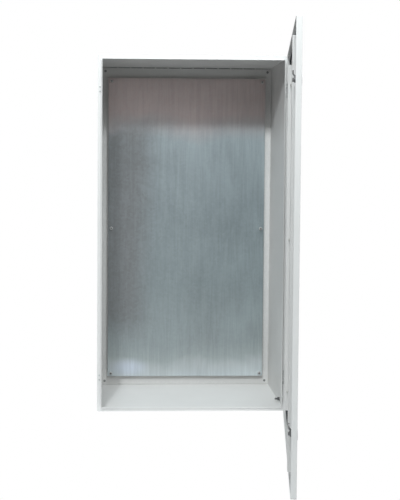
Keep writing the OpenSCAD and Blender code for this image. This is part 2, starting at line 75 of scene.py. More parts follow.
# Solids are read with points this close joined and with faces this flat made whole.
JOIN_DISTANCE = 0.002 * MM
FLAT_ANGLE = math.radians(0.6)
# Edges sharper than this are rounded, and edges sharper than the second stay crisp in the shading.
SHARP_ANGLE = math.radians(28.0)
CRISP_ANGLE = math.radians(38.0)
# Steps round a turned shape, and round and along a bead.
TURN_STEPS = 28
BEAD_STEPS = (12, 8)

WALL = 1.5 * MM
# The rain lip stands this far in front of the flange.
LIP_REACH = 8.0 * MM
# Corner welds run over the mitres of the flange, from near its outer corner to near its inner one.
CORNER_WELD_INSETS = (1.2 * MM, 12.2 * MM)
# Short welds on the tabs of the back panel.
TAB_PITCH = 44.0 * MM
TAB_WELD_HALF_LENGTH = 2.6 * MM
TAB_WELD_WIDTH = 2.2 * MM
TAB_WELD_HEIGHT = 1.1 * MM
TAB_WELD_INSET = 0.6 * MM
# Thin dark discs in the wall holes, set just behind the face of the back panel: painted shade for the dark seen
# through the holes.
HOLE_SHADE_THICKNESS = 1.2 * MM
HOLE_SHADE_DEPTH = 0.2 * MM
# A dark strip in the gap over the back panel: painted shade for the deep gap.
SEAM_WIDTH = 3.0 * MM
SEAM_HEIGHT = 0.5 * MM
SEAM_DEPTH = 0.9 * MM
# Pitch and depth of the threads.
PLATE_THREAD = (1.25 * MM, 0.6 * MM)
EARTH_THREAD = (1.0 * MM, 0.5 * MM)
RAIL_THREAD = (0.8 * MM, 0.4 * MM)
# Outline of one turn: place in shares of the pitch and height in shares of the depth.
THREAD_TURN = ((0.40, 0.0), (0.75, 1.0), (0.90, 1.0), (1.25, 0.0))
# The end of a stud tapers over this share of the pitch.
THREAD_LEAD = 0.3
# The seal is cut into shorter and shorter edges and wanders over this depth behind its free face.
SEAL_EDGE_LENGTHS = (120.0 * MM, 60.0 * MM, 30.0 * MM, 15.0 * MM)
SEAL_FREE_DEPTH = 4.5 * MM
SEAL_NOISE = ((38.0, 0.6), (120.0, 0.4))

# Zinc of the mounting plate, with heights and sideways places in metres.
# Its painted light runs from foot to head, as shares of the colour of the sheet: a painted reflection of the
# bright ground at the foot, darker in the middle and a warm painted shade at the head.
PLATE_SPAN = (-0.53, 0.53)
PAINTED_LIGHT_BY_HEIGHT = (
    (0.00, (1.85, 1.72, 1.66)), (0.035, (1.65, 1.52, 1.45)),
    (0.065, (1.20, 1.14, 1.08)), (0.12, (0.95, 0.92, 0.88)),
    (0.32, (0.72, 0.72, 0.70)), (0.55, (0.76, 0.76, 0.75)),
    (0.78, (1.0, 0.99, 0.98)), (0.87, (1.38, 0.97, 0.89)),
)
# A painted dark reflection runs up one side as a band, between its foot and its head.
DARK_REFLECTION_BAND = (-0.09, -0.20)
DARK_REFLECTION_FOOT = (-0.42, -0.28)
DARK_REFLECTION_HEAD = (0.37, 0.31)
DARK_REFLECTION_DEPTH = 0.78
# A painted bright reflection lies near the foot: its place and its reach in drawn-out space.
REFLECTION_PATCH_PLACE = (-0.20, 0.0, -0.99)
REFLECTION_PATCH_SCALE = (1.0, 0.0, 2.0)
REFLECTION_PATCH_REACH = (0.085, 0.01)
REFLECTION_PATCH_DEPTH = 0.75
# The zinc is painted lighter towards the far side, as painted light: from where, to where, from what and to what
# factor.
FAR_SIDE = (0.05, 0.24, 1.0, 1.22)
# How far the edges of those zones wander with the clouds in the zinc.
ZONE_DRIFT = 0.16
# Scale of the rolling streaks, of the finer brushed lines, of the clouds and of the spangle.
STREAK_SCALE = (60.0, 60.0, 4.0)
BRUSH_SCALE = (420.0, 420.0, 5.0)
CLOUD_SCALE = 2.6
SPANGLE_SCALE = 130.0
# Darkest and lightest tint of the streaks.
STREAK_DARK = (0.84, 0.84, 0.84, 1.0)
STREAK_LIGHT = (1.16, 1.16, 1.16, 1.0)

# The camera stands in front, a little to the left of the middle, and looks slightly down.
CAMERA_PLACE = (-0.20426, -2.44883, 0.21218)
CAMERA_HEADING = -0.027
CAMERA_DOWNWARD = 0.0333
CAMERA_ROLL = 0.0054
CAMERA_LENS = 49.989
CAMERA_SENSOR = 36.0
CAMERA_SHIFT = (0.10627, -0.11957)
CAMERA_RANGE = (0.05, 60.0)
# Lamps above the front: place, diameter and share of the power.
LAMPS = (
    ((-1.2, -4.4, 3.68), 0.45, 0.66),
    ((-4.0, -4.4, 3.68), 0.45, 0.13),
    ((0.15, -1.2, 1.25), 0.13, 0.045),
    ((-0.2, -1.0, 2.0), 0.80, 0.10),
)
LAMP_AIM = (0.0, -0.15, 0.0)
LIGHT_COLOUR = (0.94, 1.0, 1.03)
# Low strip of light that stands for the bright ground close under the box:
# place, aim, length, width and power.
STRIP = ((0.0, -0.37, -0.69), (0.0, -0.27, -0.5625), 0.66, 0.04, 0.42)
# Bright parts of the sky: middle and half width of the bearing (0 is the front, positive the right),
# middle and half width of the height, in degrees, and strength.
SKY = (
    (0.0, 30.0, 40.0, 20.0, 2.75), (-60.0, 30.0, 40.0, 20.0, 1.15), (60.0, 30.0, 0.0, 20.0, 0.49),
    (135.0, 45.0, 20.0, 70.0, 0.25), (-135.0, 45.0, 20.0, 70.0, 0.25),
)
# The floor lies below the hanging box and reaches out in front of it.
FLOOR_MIDDLE = (0.0, -1.6, -1.4)
FLOOR_HALF_SIZE = (2.6, 1.9)
FLOOR_STEPS = (24, 20)
FLOOR_GREYS = ((0.86, 0.86, 0.86, 1.0), (0.90, 0.90, 0.90, 1.0))


# ---------------------------------------------------------------- sizes and colours


class EnclosureSizes(bpy.types.PropertyGroup):
    """Sizes of the details that are added to the solids."""

    fold_round: bpy.props.FloatProperty(
        name="Fold rounding", description="Rounding of the folded sheet edges",
        default=0.0006, min=0.0001, max=0.0007, subtype="DISTANCE", unit="LENGTH")
    hardware_round: bpy.props.FloatProperty(
        name="Hardware rounding", description="Rounding of nuts, washers and small fittings",
        default=0.0003, min=0.0001, max=0.0006, subtype="DISTANCE", unit="LENGTH")
    weld_height: bpy.props.FloatProperty(
        name="Weld height", description="Height of the dressed corner welds over the front flange",
        default=0.0003, min=0.0001, max=0.0006, subtype="DISTANCE", unit="LENGTH")
    weld_width: bpy.props.FloatProperty(
        name="Weld width", description="Width of the weld beads",
        default=0.0022, min=0.001, max=0.004, subtype="DISTANCE", unit="LENGTH")
    seal_dome: bpy.props.FloatProperty(
        name="Seal dome", description="Rounding of the foamed seal",
        default=0.0022, min=0.0005, max=0.0026, subtype="DISTANCE", unit="LENGTH")
    seal_unevenness: bpy.props.FloatProperty(
        name="Seal unevenness", description="How far the foamed seal wanders from its even shape",
        default=0.00025, min=0.0, max=0.0006, subtype="DISTANCE", unit="LENGTH")
    lamp_power: bpy.props.FloatProperty(
        name="Lamp power", description="Power that the lamps above and in front share out",
        default=164.0, min=0.0, max=900.0, unit="POWER")
    sky_strength: bpy.props.FloatProperty(
        name="Sky strength", description="Strength of the bright parts of the sky",
        default=0.89, min=0.0, max=3.0)


class EnclosureColours(bpy.types.PropertyGroup):
    """Colours of the finishes."""

    coat: bpy.props.FloatVectorProperty(
        name="Powder coat", description="Light grey of the powder coat",
        default=(0.640, 0.630, 0.614), size=3, min=0.0, max=1.0, subtype="COLOR")
    sheet_zinc: bpy.props.FloatVectorProperty(
        name="Galvanised sheet", description="Blue grey of the galvanised sheet",
        default=(0.285, 0.335, 0.355), size=3, min=0.0, max=1.0, subtype="COLOR")
    # Painted reflection: colour of the bright reflection painted low on the galvanised sheet.
    reflection_patch: bpy.props.FloatVectorProperty(
        name="Bright patch", description="Colour of the clean patch low on the galvanised sheet",
        default=(0.62, 0.68, 0.78), size=3, min=0.0, max=1.0, subtype="COLOR")
    # Used for the patina in the brushed lines and for the painted dark reflection band on the plate.
    patina_and_dark_reflection: bpy.props.FloatVectorProperty(
        name="Patina", description="Dull grey of the weathered zinc",
        default=(0.15, 0.15, 0.152), size=3, min=0.0, max=1.0, subtype="COLOR")
    bright_zinc: bpy.props.FloatVectorProperty(
        name="Zinc plating", description="Colour of the plated fasteners",
        default=(0.60, 0.60, 0.57), size=3, min=0.0, max=1.0, subtype="COLOR")
    cast_zinc: bpy.props.FloatVectorProperty(
        name="Cast zinc", description="Colour of the lock castings",
        default=(0.42, 0.43, 0.45), size=3, min=0.0, max=1.0, subtype="COLOR")
    # Dark steel for the cams, the plate studs and the body's earth fixings; their darkness is partly painted shade
    # for their shaded sides.
    dark_steel: bpy.props.FloatVectorProperty(
        name="Dark steel", description="Colour of the cams and the oiled fixings",
        default=(0.20, 0.20, 0.20), size=3, min=0.0, max=1.0, subtype="COLOR")
    seal: bpy.props.FloatVectorProperty(
        name="Seal", description="Colour of the foamed seal",
        default=(0.035, 0.035, 0.037), size=3, min=0.0, max=1.0, subtype="COLOR")
    dull_zinc: bpy.props.FloatVectorProperty(
        name="Dull zinc", description="Colour of the plate fixings",
        default=(0.48, 0.48, 0.47), size=3, min=0.0, max=1.0, subtype="COLOR")
    # Painted shade: dark colour of the discs in the wall holes and of the strip in the gap over the back panel.
    hole_and_gap_shade: bpy.props.FloatVectorProperty(
        name="Cover", description="Colour of the covers in the wall holes",
        default=(0.17, 0.17, 0.165), size=3, min=0.0, max=1.0, subtype="COLOR")
    plug: bpy.props.FloatVectorProperty(
        name="Plug", description="Colour of the moulded plugs",
        default=(0.40, 0.41, 0.40), size=3, min=0.0, max=1.0, subtype="COLOR")


# ---------------------------------------------------------------- material helpers


def node_at(tree, kind, x, y, **values):
    """A node of that kind, with its sockets set by name."""
    made = tree.nodes.new(kind)
    made.location = (x, y)
    for name, value in values.items():
        made.inputs[name.replace("_", " ")].default_value = value
    return made


def ramp(tree, x, y, stops):
    """A colour ramp with the given stops of position and grey or colour."""
    made = tree.nodes.new("ShaderNodeValToRGB")
    made.location = (x, y)
    points = made.color_ramp.elements
    while len(points) < len(stops):
        points.new(0.5)
    for point, (place, tone) in zip(points, stops):
        point.position = place
        point.color = (tuple(tone) if hasattr(tone, "__len__") else (tone, tone, tone)) + (1.0,)
    return made


def scalar(tree, operation, x, y, a=None, b=None):
    """A maths node; numbers are set and sockets are linked."""
    made = tree.nodes.new("ShaderNodeMath")
    made.operation = operation
    made.location = (x, y)
    for slot, value in enumerate((a, b)):
        if value is None:
            continue
        if isinstance(value, (int, float)):
            made.inputs[slot].default_value = value
        else:
            tree.links.new(value, made.inputs[slot])
    return made.outputs[0]


def blend_colour(tree, x, y, factor, a, b, mode="MIX"):
    """A colour mix node; colours are set and sockets are linked."""
    made = tree.nodes.new("ShaderNodeMix")
    made.data_type = "RGBA"
    made.blend_type = mode
    made.location = (x, y)
    for slot, value in ((0, factor), (6, a), (7, b)):
        if isinstance(value, (int, float, tuple)):
            made.inputs[slot].default_value = value
        else:
            tree.links.new(value, made.inputs[slot])
    return made.outputs[2]


def new_group(name, inputs, outputs):
    """An empty shader node group with named inputs and outputs."""
    group = bpy.data.node_groups.new(name, "ShaderNodeTree")
    for label, kind, default in inputs:
        socket = group.interface.new_socket(name=label, in_out="INPUT", socket_type=kind)
        socket.default_value = default
    for label, kind in outputs:
        group.interface.new_socket(name=label, in_out="OUTPUT", socket_type=kind)
    start = group.nodes.new("NodeGroupInput")
    start.location = (-900, 0)
    end = group.nodes.new("NodeGroupOutput")
    end.location = (900, 0)
    return group, start, end


def grain_group():
    """Fine texture of a sprayed or cast surface: height, a slow colour drift and speckles."""
    if "Surface grain" in bpy.data.node_groups:
        return bpy.data.node_groups["Surface grain"]
    group, start, end = new_group(
        "Surface grain",
        [("Vector", "NodeSocketVector", (0, 0, 0)), ("Grain size", "NodeSocketFloat", 900.0),
         ("Drift size", "NodeSocketFloat", 5.0)],
        [("Height", "NodeSocketFloat"), ("Drift", "NodeSocketFloat"), ("Speckle", "NodeSocketFloat")])
    links = group.links
    fine = node_at(group, "ShaderNodeTexNoise", -500, 250, Detail=3.0, Roughness=0.55)
    links.new(start.outputs["Vector"], fine.inputs["Vector"])
    links.new(start.outputs["Grain size"], fine.inputs["Scale"])
    cells = group.nodes.new("ShaderNodeTexVoronoi")
    cells.location = (-500, -50)
    cells.feature = "SMOOTH_F1"
    links.new(start.outputs["Vector"], cells.inputs["Vector"])
    half = scalar(group, "MULTIPLY", -700, -50, start.outputs["Grain size"], 0.55)
    links.new(half, cells.inputs["Scale"])
    slow = node_at(group, "ShaderNodeTexNoise", -500, -350, Detail=4.0, Roughness=0.6)
    links.new(start.outputs["Vector"], slow.inputs["Vector"])
    links.new(start.outputs["Drift size"], slow.inputs["Scale"])
    both = scalar(group, "ADD", -200, 150, fine.outputs["Fac"], cells.outputs["Distance"])
    links.new(both, end.inputs["Height"])
    drift = ramp(group, -200, -350, [(0.36, 0.0), (0.66, 1.0)])
    links.new(slow.outputs["Fac"], drift.inputs["Fac"])
    links.new(drift.outputs["Color"], end.inputs["Drift"])
    speck = ramp(group, -200, -100, [(0.60, 0.0), (0.72, 1.0)])
    links.new(fine.outputs["Fac"], speck.inputs["Fac"])
    links.new(speck.outputs["Color"], end.inputs["Speckle"])
    return group


def wear_group():
    """Wear on proud edges and faint handling marks."""
    if "Edge wear and marks" in bpy.data.node_groups:
        return bpy.data.node_groups["Edge wear and marks"]
    group, start, end = new_group(
        "Edge wear and marks",
        [("Vector", "NodeSocketVector", (0, 0, 0)), ("Mark size", "NodeSocketFloat", 14.0)],
        [("Edge", "NodeSocketFloat"), ("Marks", "NodeSocketFloat")])
    links = group.links
    shape = group.nodes.new("ShaderNodeNewGeometry")
    shape.location = (-700, 200)
    proud = ramp(group, -450, 200, [(0.53, 0.0), (0.62, 1.0)])
    links.new(shape.outputs["Pointiness"], proud.inputs["Fac"])
    breakup = node_at(group, "ShaderNodeTexNoise", -450, -50, Scale=160.0, Detail=3.0)
    links.new(start.outputs["Vector"], breakup.inputs["Vector"])
    patchy = ramp(group, -200, -50, [(0.45, 0.0), (0.62, 1.0)])
    links.new(breakup.outputs["Fac"], patchy.inputs["Fac"])
    worn = scalar(group, "MULTIPLY", 100, 150, proud.outputs["Color"], patchy.outputs["Color"])
    links.new(worn, end.inputs["Edge"])
    smear = node_at(group, "ShaderNodeTexNoise", -450, -350, Detail=5.0, Roughness=0.65, Distortion=1.2)
    links.new(start.outputs["Vector"], smear.inputs["Vector"])
    links.new(start.outputs["Mark size"], smear.inputs["Scale"])
    marks = ramp(group, -200, -350, [(0.42, 0.0), (0.70, 1.0)])
    links.new(smear.outputs["Fac"], marks.inputs["Fac"])
    links.new(marks.outputs["Color"], end.inputs["Marks"])
    return group


def place_group(tree, group, x, y, vector, **values):
    """A copy of a node group in a material."""
    made = tree.nodes.new("ShaderNodeGroup")
    made.node_tree = group
    made.location = (x, y)
    tree.links.new(vector, made.inputs["Vector"])
    for name, value in values.items():
        made.inputs[name.replace("_", " ")].default_value = value
    return made


def new_material(name):
    """A material with its Principled shader, output and object coordinates."""
    material = bpy.data.materials.new(name)
    material.use_nodes = True
    tree = material.node_tree
    tree.nodes.clear()
    shader = tree.nodes.new("ShaderNodeBsdfPrincipled")
    shader.location = (900, 0)
    output = tree.nodes.new("ShaderNodeOutputMaterial")
    output.location = (1250, 0)
    tree.links.new(shader.outputs["BSDF"], output.inputs["Surface"])
    place = tree.nodes.new("ShaderNodeTexCoord")
    place.location = (-1300, 0)
    return material, tree, shader, place.outputs["Object"]


def rough_from(tree, shader, source, low, high):
    """Roughness that runs between two values with a mask."""
    between = tree.nodes.new("ShaderNodeMapRange")
    between.location = (500, -250)
    between.inputs["To Min"].default_value = low
    between.inputs["To Max"].default_value = high
    tree.links.new(source, between.inputs["Value"])
    tree.links.new(between.outputs["Result"], shader.inputs["Roughness"])


def bump_from(tree, shader, source, strength, distance):
    """Bump from a height."""
    bump = tree.nodes.new("ShaderNodeBump")
    bump.location = (600, -450)
    bump.inputs["Strength"].default_value = strength
    bump.inputs["Distance"].default_value = distance
    tree.links.new(source, bump.inputs["Height"])
    tree.links.new(bump.outputs["Normal"], shader.inputs["Normal"])


def shade(colour, factor):
    """A colour made darker or lighter, with alpha."""
    return tuple(min(1.0, channel * factor) for channel in colour) + (1.0,)


# ---------------------------------------------------------------- finishes


def powder_coat(colours):
    """Light grey fine-texture powder coat."""
    material, tree, shader, place = new_material("light_grey_powder_coat")
    grain = place_group(tree, grain_group(), -900, 100, place, Grain_size=700.0, Drift_size=3.2)
    wear = place_group(tree, wear_group(), -900, -300, place, Mark_size=7.0)
    darker, lighter = shade(colours.coat, 0.975), shade(colours.coat, 1.025)
    base = blend_colour(tree, -500, 200, grain.outputs["Drift"], darker, lighter)
    specked = scalar(tree, "MULTIPLY", -700, 350, grain.outputs["Speckle"], 0.10)
    base = blend_colour(tree, -250, 200, specked, base, shade(colours.coat, 0.78))
    worn = scalar(tree, "MULTIPLY", -700, -150, wear.outputs["Edge"], 0.22)
    base = blend_colour(tree, 50, 200, worn, base, shade(colours.coat, 1.22))
    tree.links.new(base, shader.inputs["Base Color"])
    rough_from(tree, shader, wear.outputs["Marks"], 0.46, 0.36)
    bump_from(tree, shader, grain.outputs["Height"], 0.10, 0.0002)
    shader.inputs["Specular IOR Level"].default_value = 0.45
    return material


def spread(tree, x, y, source, low, high, start=0.0, end=1.0):
    """A smooth step of a value between two limits."""
    made = tree.nodes.new("ShaderNodeMapRange")
    made.location = (x, y)
    made.interpolation_type = "SMOOTHSTEP"
    for name, value in (("From Min", low), ("From Max", high), ("To Min", start), ("To Max", end)):
        made.inputs[name].default_value = value
    tree.links.new(source, made.inputs["Value"])
    return made.outputs["Result"]


def stretched_noise(tree, x, y, place, scale, **values):
    """Noise drawn out along one direction."""
    along = tree.nodes.new("ShaderNodeMapping")
    along.location = (x - 200, y)
    along.inputs["Scale"].default_value = scale
    tree.links.new(place, along.inputs["Vector"])
    made = node_at(tree, "ShaderNodeTexNoise", x, y, Scale=1.0, **values)
    tree.links.new(along.outputs["Vector"], made.inputs["Vector"])
    return made.outputs["Fac"]


def zinc_zones(tree, colours, place, cloud):
    """Zinc colour with painted light: painted reflection and shade by height, a painted dark reflection band, a
    painted bright reflection near the foot and a painted lift to the far side.
    """
    sides = tree.nodes.new("ShaderNodeSeparateXYZ")
    sides.location = (-1000, -300)
    tree.links.new(place, sides.inputs["Vector"])
    drift = scalar(tree, "SUBTRACT", -800, -150, cloud, 0.5)
    drift = scalar(tree, "MULTIPLY", -650, -150, drift, ZONE_DRIFT)
    height = scalar(tree, "ADD", -500, -250, sides.outputs["Z"], drift)
    side = scalar(tree, "ADD", -500, -400, sides.outputs["X"], drift)
    # Painted light by height: a painted reflection of the bright ground at the foot and a warm painted shade at
    # the head.
    level = spread(tree, -350, -250, height, *PLATE_SPAN)
    level.node.interpolation_type = "LINEAR"
    painted_light = ramp(tree, -150, -250, PAINTED_LIGHT_BY_HEIGHT)
    tree.links.new(level, painted_light.inputs["Fac"])
    zinc = shade(colours.sheet_zinc, 1.0)
    base = blend_colour(tree, 100, 0, 1.0, painted_light.outputs["Color"], zinc, "MULTIPLY")
    # Painted dark reflection: a darker band up one side of the plate.
    band = spread(tree, -350, -500, side, *DARK_REFLECTION_BAND)
    foot = spread(tree, -350, -700, height, *DARK_REFLECTION_FOOT)
    head = spread(tree, -350, -900, height, *DARK_REFLECTION_HEAD)
    band = scalar(tree, "MULTIPLY", -150, -500, band, foot)
    band = scalar(tree, "MULTIPLY", -80, -600, band, head)
    band = scalar(tree, "MULTIPLY", 0, -500, band, DARK_REFLECTION_DEPTH)
    base = blend_colour(tree, 200, -100, band, base, shade(colours.patina_and_dark_reflection, 1.0))
    # Painted bright reflection near the foot of the plate.
    flat = tree.nodes.new("ShaderNodeVectorMath")
    flat.operation = "MULTIPLY"
    flat.location = (-800, -700)
    flat.inputs[1].default_value = REFLECTION_PATCH_SCALE
    tree.links.new(place, flat.inputs[0])
    away = tree.nodes.new("ShaderNodeVectorMath")
    away.operation = "DISTANCE"
    away.location = (-600, -700)
    away.inputs[1].default_value = REFLECTION_PATCH_PLACE
    tree.links.new(flat.outputs["Vector"], away.inputs[0])
    patch = spread(tree, -350, -1100, away.outputs["Value"], *REFLECTION_PATCH_REACH)
    patch = scalar(tree, "MULTIPLY", -80, -900, patch, REFLECTION_PATCH_DEPTH)
    base = blend_colour(tree, 230, -200, patch, base, shade(colours.reflection_patch, 1.0))
    # Painted light: the zinc is lighter towards the far side.
    lift = spread(tree, 200, -300, side, *FAR_SIDE)
    return blend_colour(tree, 260, -100, 1.0, base, lift, "MULTIPLY")


def galvanised_sheet(colours):
    """Rolled galvanised sheet: upright streaks, cloudy patches, faint spangle and the painted reflections and
    shade of the plate's zones.
    """
    material, tree, shader, place = new_material("galvanised_sheet")
    streak = stretched_noise(
        tree, -1000, 300, place, STREAK_SCALE, Detail=6.0, Roughness=0.62, Distortion=1.6)
    brushed = stretched_noise(tree, -1000, 600, place, BRUSH_SCALE, Detail=3.0, Roughness=0.5)
    cloud = node_at(
        tree, "ShaderNodeTexNoise", -1000, 900,
        Scale=CLOUD_SCALE, Detail=4.0, Roughness=0.6, Distortion=0.8)
    tree.links.new(place, cloud.inputs["Vector"])
    spangle = node_at(tree, "ShaderNodeTexVoronoi", -1000, 0, Scale=SPANGLE_SCALE)
    tree.links.new(place, spangle.inputs["Vector"])
    crystal = tree.nodes.new("ShaderNodeSeparateColor")
    crystal.location = (-800, 0)
    tree.links.new(spangle.outputs["Color"], crystal.inputs["Color"])
    base = zinc_zones(tree, colours, place, cloud.outputs["Fac"])
    rolled = spread(tree, -650, 300, streak, 0.30, 0.72)
    misty = spread(tree, -650, 900, cloud.outputs["Fac"], 0.34, 0.68)
    mixed = scalar(tree, "ADD", -450, 300, rolled, misty)
    mixed = scalar(tree, "MULTIPLY", -300, 300, mixed, 0.5)
    dull = blend_colour(tree, 300, 200, 1.0, base, STREAK_DARK, "MULTIPLY")
    clear = blend_colour(tree, 300, 400, 1.0, base, STREAK_LIGHT, "MULTIPLY")
    base = blend_colour(tree, 450, 300, mixed, dull, clear)
    fine = scalar(tree, "MULTIPLY", 0, 600, brushed, 0.16)
    base = blend_colour(tree, 600, 300, fine, base, shade(colours.patina_and_dark_reflection, 0.8))
    flake = scalar(tree, "MULTIPLY", 0, 750, crystal.outputs[0], 0.08)
    base = blend_colour(tree, 750, 300, flake, base, shade(colours.sheet_zinc, 1.5))
    tree.links.new(base, shader.inputs["Base Color"])
    shader.inputs["Metallic"].default_value = 0.35
    rough_from(tree, shader, mixed, 0.30, 0.42)
    bump_from(tree, shader, brushed, 0.05, 0.0002)
    return material


def metal(name, colour, grain_size, rough, bump, metallic=0.95):
    """A plain metal finish with grain, marks and brighter edges."""
    material, tree, shader, place = new_material(name)
    grain = place_group(tree, grain_group(), -900, 100, place, Grain_size=grain_size, Drift_size=60.0)
    wear = place_group(tree, wear_group(), -900, -300, place, Mark_size=90.0)
    base = blend_colour(tree, -400, 200, grain.outputs["Drift"], shade(colour, 0.86), shade(colour, 1.08))
    base = blend_colour(tree, -100, 200, wear.outputs["Edge"], base, shade(colour, 1.35))
    tree.links.new(base, shader.inputs["Base Color"])
    shader.inputs["Metallic"].default_value = metallic
    rough_from(tree, shader, wear.outputs["Marks"], *rough)
    bump_from(tree, shader, grain.outputs["Height"], bump, 0.0001)
    return material


def foamed_seal(colours):
    """Fine-celled foam skin."""
    material, tree, shader, place = new_material("foamed_seal")
    grain = place_group(tree, grain_group(), -900, 100, place, Grain_size=1500.0, Drift_size=40.0)
    wear = place_group(tree, wear_group(), -900, -300, place, Mark_size=60.0)
    darker, lighter = shade(colours.seal, 0.8), shade(colours.seal, 1.4)
    base = blend_colour(tree, -400, 200, grain.outputs["Drift"], darker, lighter)
    base = blend_colour(tree, -100, 200, grain.outputs["Speckle"], base, shade(colours.seal, 2.2))
    tree.links.new(base, shader.inputs["Base Color"])
    rough_from(tree, shader, wear.outputs["Marks"], 0.82, 0.68)
    bump_from(tree, shader, grain.outputs["Height"], 0.35, 0.0002)
    return material


def moulded(name, colour):
    """Moulded plastic with a satin skin; also the dark fill that paints shade in the wall holes and the gap over
    the back panel.
    """
    material, tree, shader, place = new_material(name)
    grain = place_group(tree, grain_group(), -900, 100, place, Grain_size=2500.0, Drift_size=120.0)
    base = blend_colour(tree, -400, 200, grain.outputs["Drift"], shade(colour, 0.8), shade(colour, 1.5))
    tree.links.new(base, shader.inputs["Base Color"])
    rough_from(tree, shader, grain.outputs["Drift"], 0.38, 0.52)
    bump_from(tree, shader, grain.outputs["Height"], 0.12, 0.0001)
    return material


def finishes():
    """Every finish by the name of its record slot or of its own, made once."""
    scene = bpy.context.scene
    colours = scene.enclosure_colours
    if "enclosure_finishes" not in scene:
        made = {
            "paint": powder_coat(colours),
            "galvanised": galvanised_sheet(colours),
            "zinc_steel": metal(
                "bright_zinc_plating", colours.bright_zinc, 1800.0, rough=(0.26, 0.42), bump=0.10),
            "cast_zinc": metal(
                "satin_cast_zinc", colours.cast_zinc, 1200.0, rough=(0.34, 0.50), bump=0.22),
            # Dark steel, partly painted shade on the cams and fixings that take it.
            "dark_steel": metal(
                "dark_steel_partly_painted_shade", colours.dark_steel, 1500.0, rough=(0.34, 0.50), bump=0.14),
            "foam": foamed_seal(colours),
            "grey_plastic": moulded("grey_moulded_plug", colours.plug),
            # Painted shade for the wall holes and the gap over the back panel, on the moulded finish.
            "dark_plastic": moulded("painted_hole_and_gap_shade", colours.hole_and_gap_shade),
            "dull_zinc": metal(
                "dull_zinc_plating", colours.dull_zinc, 1800.0, rough=(0.40, 0.55), bump=0.10,
                metallic=0.15),
        }
        scene["enclosure_finishes"] = {slot: material.name for slot, material in made.items()}
    return {slot: bpy.data.materials[name] for slot, name in scene["enclosure_finishes"].items()}


# ---------------------------------------------------------------- shape helpers


def merged(node):
    """A bmesh of a solid with its loose triangles joined and its flat faces whole."""
    shape = bmesh.new()
    shape.from_mesh(NODES[node].data)
    bmesh.ops.remove_doubles(shape, verts=shape.verts, dist=JOIN_DISTANCE)
    bmesh.ops.dissolve_limit(
        shape, angle_limit=FLAT_ANGLE, verts=shape.verts, edges=shape.edges, delimit=set())
    return shape


def round_edges(shape, width, segments, chosen=None):
    """Rounds the sharp edges of a shape; chosen says which of them, or all are rounded."""
    sharp = [
        edge for edge in shape.edges
        if len(edge.link_faces) == 2 and edge.calc_face_angle(0.0) > SHARP_ANGLE
        and (chosen is None or chosen(edge))
    ]
    bmesh.ops.bevel(
        shape, geom=sharp, offset=width, offset_type="OFFSET", segments=segments, profile=0.5,
        affect="EDGES", clamp_overlap=True, material=-1)


def finished(name, shape, body, slot, stands_for=(), finish=None):
    """Makes a bmesh an object that rides on a body and takes the finish of its slot, or another one."""
    for face in shape.faces:
        face.smooth = True
    for edge in shape.edges:
        edge.smooth = len(edge.link_faces) == 2 and edge.calc_face_angle(0.0) <= CRISP_ANGLE
    mesh = bpy.data.meshes.new(name)
    shape.to_mesh(mesh)
    shape.free()
    made = bpy.data.objects.new(name, mesh)
    bpy.context.scene.collection.objects.link(made)
    made.data.materials.append(finishes()[finish or slot])
    weighted = made.modifiers.new("Even normals", "WEIGHTED_NORMAL")
    weighted.keep_sharp = True
    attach(made, body)
    if stands_for:
        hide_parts(*stands_for)
    return made


def dressed(node, width, segments=2, finish=None):
    """A solid with joined faces and rounded edges in its place."""
    shape = merged(node)
    round_edges(shape, width, segments)
    return finished(node + "_dressed", shape, BODY_OF[node], SLOT_OF[node], (node,), finish)


def lathe(profile):
    """A closed shape from a profile of (radius, height) turned about Z."""
    shape = bmesh.new()
    points = [shape.verts.new((radius, 0.0, height)) for radius, height in profile]
    for first, second in zip(points, points[1:] + points[:1]):
        shape.edges.new((first, second))
    bmesh.ops.spin(
        shape, geom=shape.verts[:] + shape.edges[:], cent=(0, 0, 0), axis=(0, 0, 1),
        angle=math.tau, steps=TURN_STEPS, use_merge=True, use_duplicate=False)
    bmesh.ops.remove_doubles(shape, verts=shape.verts, dist=JOIN_DISTANCE / 20)
    bmesh.ops.recalc_face_normals(shape, faces=shape.faces)
    return shape


def join_into(target, shape, matrix):
    """Adds a shape, moved by a matrix, to another bmesh."""
    bmesh.ops.transform(shape, matrix=matrix, verts=shape.verts)
    carrier = bpy.data.meshes.new("carrier")
    shape.to_mesh(carrier)
    shape.free()
    target.from_mesh(carrier)
    bpy.data.meshes.remove(carrier)


def solids_of(node):
    """The points of each separate solid of a node."""
    shape = merged(node)
    left = set(shape.verts)
    found = []
    while left:
        seed = left.pop()
        group, queue = {seed}, [seed]
        while queue:
            here = queue.pop()
            for edge in here.link_edges:
                other = edge.other_vert(here)
                if other not in group:
                    group.add(other)
                    queue.append(other)
        left -= group
        found.append([vert.co.copy() for vert in group])
    shape.free()
    return found


def axis_frame(points, axis):
    """Centre line of a round solid: its middle off the axis, its radius and its two ends along the axis."""
    along = [point.dot(axis) for point in points]
    low, high = min(along), max(along)
    flat = [point - axis * point.dot(axis) for point in points]
    middle = sum(flat, Vector()) / len(flat)
    radius = max((point - middle).length for point in flat)
    return middle, radius, low, high


def threaded(node, axis, thread, finish=None):
    """Threaded rods in place of the plain studs of a node, from their foot to their end along an axis."""
    pitch, depth = thread
    whole = bmesh.new()
    turn = axis.to_track_quat("Z", "Y").to_matrix().to_4x4()
    for points in solids_of(node):
        middle, radius, low, high = axis_frame(points, axis)
        length = high - low
        root = radius - depth
        profile = [(0.0, 0.0), (root, 0.0)]
        for step in range(int((length - pitch) / pitch)):
            profile += [(root + depth * rise, (step + share) * pitch) for share, rise in THREAD_TURN]
        profile += [(root, length - pitch * THREAD_LEAD), (root - depth, length), (0.0, length)]
        join_into(whole, lathe(profile), Matrix.Translation(middle + axis * low) @ turn)
    return finished(node + "_threaded", whole, BODY_OF[node], SLOT_OF[node], (node,), finish)


